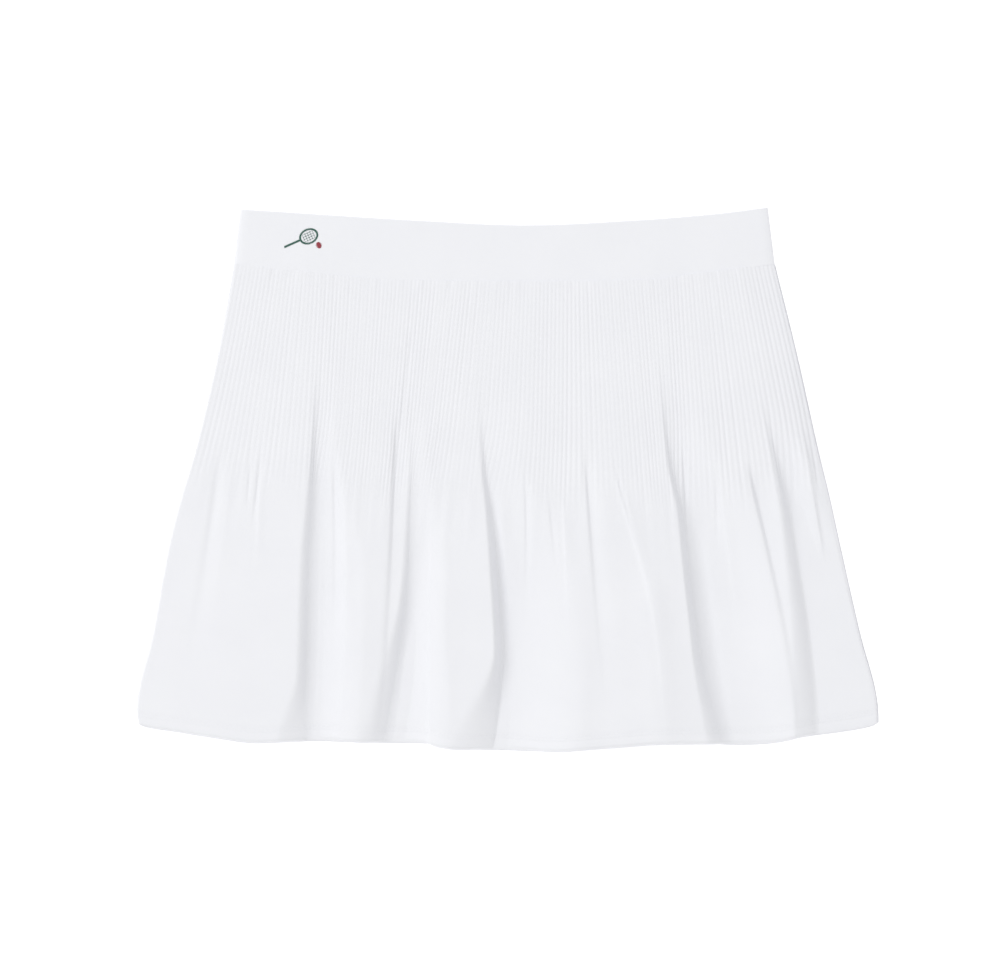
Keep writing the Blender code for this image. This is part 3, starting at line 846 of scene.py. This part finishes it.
green = bmesh.new()
turns = np.linspace(0, 2 * np.pi, HEAD_STRANDS, endpoint=False)
head = np.column_stack((HEAD_MIDDLE + HEAD_LONG * np.cos(turns), HEAD_WIDE * np.sin(turns)))
satin_line(green, head, HEAD_FRAME)
down_handle = np.linspace(HANDLE_FROM, HANDLE_TO, HANDLE_STRANDS)
satin_line(green, np.column_stack((down_handle, np.zeros(HANDLE_STRANDS))), HANDLE_WIDTH)
for across in LONG_STRINGS:
    reach = half_chord(across, HEAD_LONG, HEAD_WIDE) - STRING_INSET
    ends = mark_place(HEAD_MIDDLE - reach, across), mark_place(HEAD_MIDDLE + reach, across)
    add_strand(green, *ends, STRING_RADIUS, UP)
for along in CROSS_STRINGS:
    reach = half_chord(along - HEAD_MIDDLE, HEAD_WIDE, HEAD_LONG) - STRING_INSET
    ends = mark_place(along, -reach), mark_place(along, reach)
    add_strand(green, *ends, STRING_RADIUS, UP)
racket = finish_piece("racket_mark", green)

red = bmesh.new()
for row in BALL_ROWS:
    reach = half_chord(row, BALL_RADIUS, BALL_RADIUS)
    across = BALL_ACROSS + row
    ends = mark_place(BALL_ALONG - reach, across), mark_place(BALL_ALONG + reach, across)
    add_strand(red, *ends, THREAD_RADIUS, UP)
ball = finish_piece("ball_mark", red)
print("mark:", len(racket.data.polygons) + len(ball.data.polygons), "faces")

# %% [markdown]
# ## The knit, as a node group
#
# Jersey shows columns of small V shapes. The group reads the cloth's own UV
# map, in metres, so the stitches follow every fold. Across one wale the two
# legs of the V lean towards its middle, and up the wale they repeat with each
# course. It puts out a height for bump and a slow cloudy mask for colour.

# %% Knit node group
LEG_FULLNESS = 0.6
CLOUD_SCALE, CLOUD_DETAIL = 26.0, 4.0


def math_node(tree, operation, first, second=None):
    """Add a math node and wire or set its inputs."""
    node = tree.nodes.new("ShaderNodeMath")
    node.operation = operation
    for socket, value in zip(node.inputs, (first, second)):
        if value is None:
            continue
        if isinstance(value, (int, float)):
            socket.default_value = value
        else:
            tree.links.new(value, socket)
    return node.outputs[0]


def make_knit_group():
    """Build the knit group: UV in metres in, stitch height and cloudiness out."""
    group = bpy.data.node_groups.new("jersey_knit", "ShaderNodeTree")
    face = group.interface
    face.new_socket(name="Cloth", in_out="INPUT", socket_type="NodeSocketVector")
    face.new_socket(name="Wales per metre", in_out="INPUT", socket_type="NodeSocketFloat")
    face.new_socket(name="Courses per metre", in_out="INPUT", socket_type="NodeSocketFloat")
    face.new_socket(name="Height", in_out="OUTPUT", socket_type="NodeSocketFloat")
    face.new_socket(name="Cloud", in_out="OUTPUT", socket_type="NodeSocketFloat")
    given = group.nodes.new("NodeGroupInput")
    result = group.nodes.new("NodeGroupOutput")
    split = group.nodes.new("ShaderNodeSeparateXYZ")
    group.links.new(given.outputs["Cloth"], split.inputs[0])
    wale = math_node(group, "MULTIPLY", split.outputs[0], given.outputs["Wales per metre"])
    course = math_node(group, "MULTIPLY", split.outputs[1], given.outputs["Courses per metre"])
    from_middle = math_node(group, "ABSOLUTE", math_node(
        group, "SUBTRACT", math_node(group, "FRACT", wale), 0.5))
    leaning = math_node(group, "ADD", course, from_middle)
    along = math_node(group, "ABSOLUTE", math_node(
        group, "SINE", math_node(group, "MULTIPLY", leaning, float(np.pi))))
    leg = math_node(group, "ABSOLUTE", math_node(
        group, "SINE", math_node(group, "MULTIPLY", wale, float(2 * np.pi))))
    stitch = math_node(group, "MULTIPLY", math_node(group, "POWER", leg, LEG_FULLNESS), along)
    group.links.new(stitch, result.inputs["Height"])
    noise = group.nodes.new("ShaderNodeTexNoise")
    noise.inputs["Scale"].default_value = CLOUD_SCALE
    noise.inputs["Detail"].default_value = CLOUD_DETAIL
    group.links.new(given.outputs["Cloth"], noise.inputs["Vector"])
    group.links.new(noise.outputs["Fac"], result.inputs["Cloud"])
    return group


knit_group = make_knit_group()
print("knit group sockets:", [item.name for item in knit_group.interface.items_tree])

# %% [markdown]
# ## Cloth and thread materials
#
# White cloth looks white because it scatters light evenly, so roughness is high, and a little sheen
# stands for its fine fuzz. The bump is only a fraction of a millimetre deep. The thread is
# smoother, so it catches a thin highlight, and the shade between its twisted plies is painted into
# its colour as fine darker stripes.

# %% Materials
# The darker white is the cloth's own cloudy tone, which varies at random, and on the white thread
# it is painted shade in the grooves of the twist.
WHITE_LIGHT = (0.890, 0.896, 0.925, 1.0)
WHITE_CLOUD_AND_TWIST_SHADE = (0.850, 0.857, 0.890, 1.0)
# The darker green and red are painted shade in the grooves of each thread's twist.
GREEN, GREEN_TWIST_SHADE = (0.035, 0.145, 0.105, 1), (0.018, 0.085, 0.065, 1)
RED, RED_TWIST_SHADE = (0.42, 0.06, 0.08, 1), (0.26, 0.03, 0.05, 1)
CLOTH_DULLEST, CLOTH_SMOOTHEST = 0.94, 0.80
STITCH_DEPTH = 0.15 * MM
CLOTH_SHEEN, CLOTH_SHEEN_SPREAD, CLOTH_SHINE = 0.15, 0.5, 0.25
TWISTS, TWIST_WANDER = 900.0, 1.5
THREAD_ROUGHNESS, THREAD_SHEEN = 0.55, 0.2


def make_cloth(name, wales, courses, bump):
    """Make a white knit with so many wales and courses to the metre, its stitches as bump."""
    material = bpy.data.materials.new(name)
    material.use_nodes = True
    tree = material.node_tree
    shader = tree.nodes["Principled BSDF"]
    cloth = tree.nodes.new("ShaderNodeUVMap")
    cloth.uv_map = "cloth"
    knit = tree.nodes.new("ShaderNodeGroup")
    knit.node_tree = knit_group
    knit.inputs["Wales per metre"].default_value = wales
    knit.inputs["Courses per metre"].default_value = courses
    tree.links.new(cloth.outputs["UV"], knit.inputs["Cloth"])
    mix = tree.nodes.new("ShaderNodeMix")
    mix.data_type = "RGBA"
    mix.inputs["A"].default_value = WHITE_CLOUD_AND_TWIST_SHADE
    mix.inputs["B"].default_value = WHITE_LIGHT
    tree.links.new(knit.outputs["Cloud"], mix.inputs["Factor"])
    tree.links.new(mix.outputs["Result"], shader.inputs["Base Color"])
    roughness = tree.nodes.new("ShaderNodeMapRange")
    roughness.inputs["To Min"].default_value = CLOTH_DULLEST
    roughness.inputs["To Max"].default_value = CLOTH_SMOOTHEST
    tree.links.new(knit.outputs["Height"], roughness.inputs["Value"])
    tree.links.new(roughness.outputs["Result"], shader.inputs["Roughness"])
    relief = tree.nodes.new("ShaderNodeBump")
    relief.inputs["Strength"].default_value = bump
    relief.inputs["Distance"].default_value = STITCH_DEPTH
    tree.links.new(knit.outputs["Height"], relief.inputs["Height"])
    tree.links.new(relief.outputs["Normal"], shader.inputs["Normal"])
    shader.inputs["Sheen Weight"].default_value = CLOTH_SHEEN
    shader.inputs["Sheen Roughness"].default_value = CLOTH_SHEEN_SPREAD
    shader.inputs["Specular IOR Level"].default_value = CLOTH_SHINE
    return material


def make_thread(name, colour, shade):
    """Make embroidery or sewing thread, with painted shade in fine darker stripes along its twist.
    """
    material = bpy.data.materials.new(name)
    material.use_nodes = True
    tree = material.node_tree
    shader = tree.nodes["Principled BSDF"]
    place = tree.nodes.new("ShaderNodeTexCoord")
    twist = tree.nodes.new("ShaderNodeTexWave")
    twist.inputs["Scale"].default_value = TWISTS
    twist.inputs["Distortion"].default_value = TWIST_WANDER
    tree.links.new(place.outputs["Object"], twist.inputs["Vector"])
    mix = tree.nodes.new("ShaderNodeMix")
    mix.data_type = "RGBA"
    # Painted shade: the wave's darker stripes stand for the shade between the thread's twisted
    # plies.
    mix.inputs["A"].default_value = shade
    mix.inputs["B"].default_value = colour
    tree.links.new(twist.outputs["Fac"], mix.inputs["Factor"])
    tree.links.new(mix.outputs["Result"], shader.inputs["Base Color"])
    shader.inputs["Roughness"].default_value = THREAD_ROUGHNESS
    shader.inputs["Sheen Weight"].default_value = THREAD_SHEEN
    return material


skirt_knit = make_cloth("skirt_knit", wales=1360, courses=1500, bump=0.35)
waistband_knit = make_cloth("waistband_knit", wales=2000, courses=1900, bump=0.25)
white_thread = make_thread("white_thread", WHITE_LIGHT, WHITE_CLOUD_AND_TWIST_SHADE)
green_thread = make_thread("green_thread", GREEN, GREEN_TWIST_SHADE)
red_thread = make_thread("red_thread", RED, RED_TWIST_SHADE)

for piece, material in (
    (skirt_front, skirt_knit), (skirt_back, skirt_knit),
    (waistband_front, waistband_knit), (waistband_back, waistband_knit),
    (stitch_row, white_thread), (racket, green_thread), (ball, red_thread),
):
    piece.data.materials.append(material)
print("materials:", [material.name for material in bpy.data.materials])

# %% [markdown]
# ## Pieces and bodies
#
# A skirt has no joints, so every piece rides on the one body. Each shell stands for its solid.

# %% Ride and replace
for piece in (skirt_front, skirt_back, waistband_front, waistband_back, stitch_row, racket, ball):
    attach(piece, "root")
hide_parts("skirt_front")
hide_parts("skirt_back")
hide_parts("waistband_front")
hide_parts("waistband_back")

# %% [markdown]
# ## Floor and sky
#
# The skirt lies on a plain pale floor, a breath below the cloth so the two
# never share a plane. The floor glows faintly, which keeps it an even white
# under the soft shadow, and a plain white sky fills the shade in the folds.

# %% Floor and sky
FLOOR_HALF, FLOOR_DROP = 3.0, 0.3 * MM
FLOOR_GREY, FLOOR_ROUGHNESS, FLOOR_GLOW = 0.94, 0.9, 0.42
SKY_STRENGTH = 0.812

scene = bpy.context.scene
scene.view_settings.view_transform = "Standard"

floor_mesh = bmesh.new()
just_under = Matrix.Translation((0, 0, -FLOOR_DROP))
bmesh.ops.create_grid(floor_mesh, x_segments=1, y_segments=1, size=FLOOR_HALF, matrix=just_under)
floor = finish_piece("floor", floor_mesh)
floor_paint = bpy.data.materials.new("floor_paint")
floor_paint.use_nodes = True
floor_shader = floor_paint.node_tree.nodes["Principled BSDF"]
floor_shader.inputs["Base Color"].default_value = (FLOOR_GREY, FLOOR_GREY, FLOOR_GREY, 1)
floor_shader.inputs["Roughness"].default_value = FLOOR_ROUGHNESS
floor_shader.inputs["Emission Color"].default_value = (1, 1, 1, 1)
floor_shader.inputs["Emission Strength"].default_value = FLOOR_GLOW
floor.data.materials.append(floor_paint)

world = bpy.data.worlds.new("studio")
scene.world = world
world.use_nodes = True
sky = world.node_tree.nodes["Background"]
sky.inputs["Color"].default_value = (1.0, 1.0, 1.0, 1)
sky.inputs["Strength"].default_value = SKY_STRENGTH
print("floor:", 2 * FLOOR_HALF, "m wide")

# %% [markdown]
# ## Lamp and camera
#
# White cloth on a white ground needs a soft light with a clear direction. A
# broad lamp on the left shades the right side of every fold and rib. It hangs
# eight metres off, so the cloth is only a little darker on the right. The
# camera looks straight down through a long lens, so the folds hardly lean.

# %% Lamp and camera
KEY_DISTANCE = 8.0
KEY_STRENGTH = 0.94
KEY_SPREAD = np.radians(32)
KEY_HEADING = Vector((1.5, -0.7, -1.7)).normalized()
key_light = bpy.data.lights.new("key", "AREA")
key_light.shape = "DISK"
key_light.size = 2 * KEY_DISTANCE * np.tan(KEY_SPREAD / 2)
key_light.energy = KEY_STRENGTH * np.pi * KEY_DISTANCE ** 2
key = bpy.data.objects.new("key", key_light)
key.location = -KEY_DISTANCE * KEY_HEADING
key.rotation_euler = KEY_HEADING.to_track_quat("-Z", "Y").to_euler()
scene.collection.objects.link(key)

CAMERA_LENS, SENSOR = 85.0, 36.0
VIEW_WIDTH = 0.670
VIEW_X, VIEW_Y, VIEW_Z = -5.4 * MM, -4.4 * MM, 4 * MM
camera_data = bpy.data.cameras.new("camera")
camera_data.lens = CAMERA_LENS
camera_data.sensor_width = SENSOR
camera = bpy.data.objects.new("camera", camera_data)
camera.location = (VIEW_X, VIEW_Y, VIEW_Z + VIEW_WIDTH * CAMERA_LENS / SENSOR)
scene.collection.objects.link(camera)
scene.camera = camera
print("camera height:", round(camera.location.z, 3), "m")
